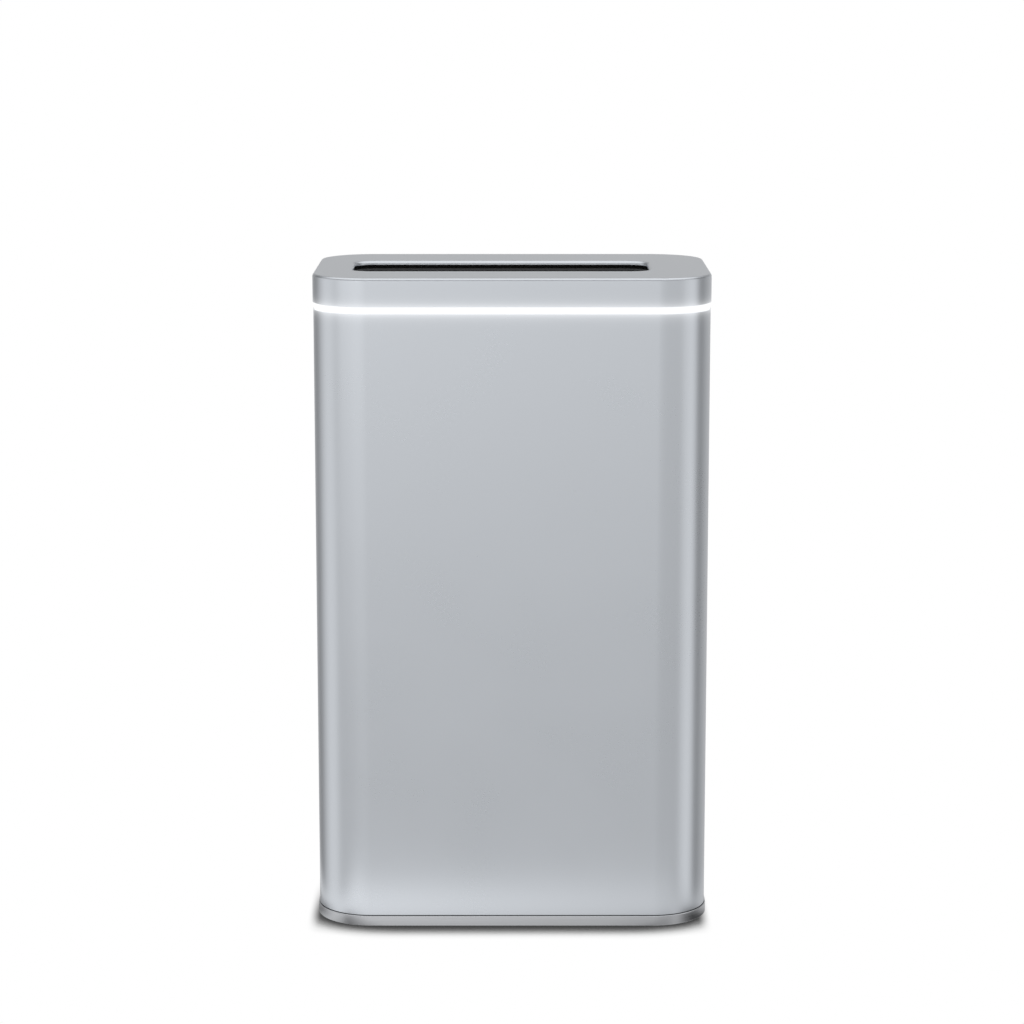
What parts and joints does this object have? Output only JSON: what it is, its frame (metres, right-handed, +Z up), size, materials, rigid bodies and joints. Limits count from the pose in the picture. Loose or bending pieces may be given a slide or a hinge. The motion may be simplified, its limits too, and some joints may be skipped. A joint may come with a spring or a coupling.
{
  "type": "uv sanitizer box for phones",
  "caption": "Standing metal box that cleans a handheld device with ultraviolet light: slot in the lid, light band, shuttered throat and a shelf lowered by a lead screw.",
  "frame": {"origin": "on the floor under the middle of the body, between the rubber feet", "axes": "+Z up, the front faces -Y, +X to the right seen from the front (the side of the drive bay)"},
  "size_m": [0.1248, 0.0788, 0.2065],
  "materials": {
    "satin_aluminium": "fine bead-blasted and anodised, satin, cool light grey",
    "brushed_aluminium": "fine brushed, half gloss",
    "mirror_aluminium": "bright rolled, mirror-like",
    "light_guide": "opal light guide, lit white",
    "seal_foam": "matte black foam",
    "throat_plastic": "dark grey, fine moulded texture",
    "frame_plastic": "black moulded, matte",
    "gear_plastic": "natural white acetal",
    "steel": "ground steel",
    "brass": "turned brass",
    "circuit_board": "green solder mask",
    "quartz": "clear quartz tube",
    "foot_rubber": "black rubber",
    "silicone": "dark grey silicone, matte"
  },
  "bodies": {
    "housing": {"body_shell": "satin_aluminium", "base_plate": "brushed_aluminium", "top_lid": "satin_aluminium", "light_band": "light_guide", "front_lamp_strip": "circuit_board", "rear_lamp_strip": "circuit_board", "foot_front_left": "foot_rubber", "foot_front_right": "foot_rubber", "foot_rear_left": "foot_rubber", "foot_rear_right": "foot_rubber", "base_screw_front_left": "steel", "base_screw_front_right": "steel", "base_screw_rear_left": "steel", "base_screw_rear_right": "steel", "shutter_deck": "frame_plastic", "throat_frame": "throat_plastic", "slot_seal": "seal_foam", "shutter_motor": "steel", "deck_screw_front_left": "steel", "deck_screw_front_right": "steel", "deck_screw_rear_left": "steel", "deck_screw_rear_right": "steel", "chamber_floor": "frame_plastic", "front_reflector": "mirror_aluminium", "rear_reflector": "mirror_aluminium", "left_reflector": "mirror_aluminium", "right_reflector": "mirror_aluminium", "front_guard": "brushed_aluminium", "rear_guard": "brushed_aluminium", "front_lower_lamp_holder": "frame_plastic", "front_upper_lamp_holder": "frame_plastic", "rear_lower_lamp_holder": "frame_plastic", "rear_upper_lamp_holder": "frame_plastic", "front_left_uv_lamp": "quartz", "front_right_uv_lamp": "quartz", "rear_left_uv_lamp": "quartz", "rear_right_uv_lamp": "quartz", "front_guide_rod": "steel", "rear_guide_rod": "steel", "bearing_bridge": "frame_plastic", "upper_bearing": "brass", "lower_bearing": "brass", "lift_motor": "steel", "chassis_tray": "frame_plastic", "main_board": "circuit_board", "power_jack": "frame_plastic", "button_switch": "frame_plastic"},
    "lift_shelf": {"lift_carriage": "frame_plastic", "shelf_pad": "silicone", "drive_nut": "brass"},
    "lift_screw": {"lead_screw": "steel", "screw_gear": "gear_plastic"},
    "lift_idler": {"idler_gear": "gear_plastic"},
    "lift_drive": {"lift_pinion": "brass"},
    "shutter_front": {"front_shutter": "throat_plastic"},
    "shutter_rear": {"rear_shutter": "throat_plastic"},
    "shutter_drive": {"shutter_pinion": "steel"},
    "push_button": {"rear_button": "frame_plastic", "switch_plunger": "gear_plastic"}
  },
  "joints": [
    {"name": "lift_slide", "type": "slide", "parent": "housing", "child": "lift_shelf", "axis": [0, 0, 1], "range_m": [-0.068, 0]},
    {"name": "lead_screw_spin", "type": "hinge", "parent": "housing", "child": "lift_screw", "pos_m": [0.05314, 0, 0.06], "axis": [0, 0, 1], "range_deg": [0, 3065]},
    {"name": "idler_spin", "type": "hinge", "parent": "housing", "child": "lift_idler", "pos_m": [0.04636, -0.00978, 0.0111], "axis": [0, 0, 1], "range_deg": [-3448, 0]},
    {"name": "lift_pinion_spin", "type": "hinge", "parent": "housing", "child": "lift_drive", "pos_m": [0.05314, -0.0178, 0.0111], "axis": [0, 0, 1], "range_deg": [0, 3940]},
    {"name": "front_shutter_slide", "type": "slide", "parent": "housing", "child": "shutter_front", "axis": [0, 1, 0], "range_m": [0, 0.01615]},
    {"name": "rear_shutter_slide", "type": "slide", "parent": "housing", "child": "shutter_rear", "axis": [0, -1, 0], "range_m": [0, 0.0162]},
    {"name": "shutter_pinion_spin", "type": "hinge", "parent": "housing", "child": "shutter_drive", "pos_m": [0.05286, -0.001, 0.2], "axis": [0, 0, 1], "range_deg": [-310, 0]},
    {"name": "button_press", "type": "slide", "parent": "housing", "child": "push_button", "axis": [0, -1, 0], "range_m": [0, 0.001], "stiffness_N_per_m": 1500}
  ],
  "couplings": [
    {"joint": "lead_screw_spin", "follows": "lift_slide", "rad_per_m": -785.4},
    {"joint": "idler_spin", "follows": "lift_slide", "rad_per_m": 883.57},
    {"joint": "lift_pinion_spin", "follows": "lift_slide", "rad_per_m": -1009.8},
    {"joint": "rear_shutter_slide", "follows": "front_shutter_slide", "ratio": 1},
    {"joint": "shutter_pinion_spin", "follows": "front_shutter_slide", "rad_per_m": -333.33}
  ]
}
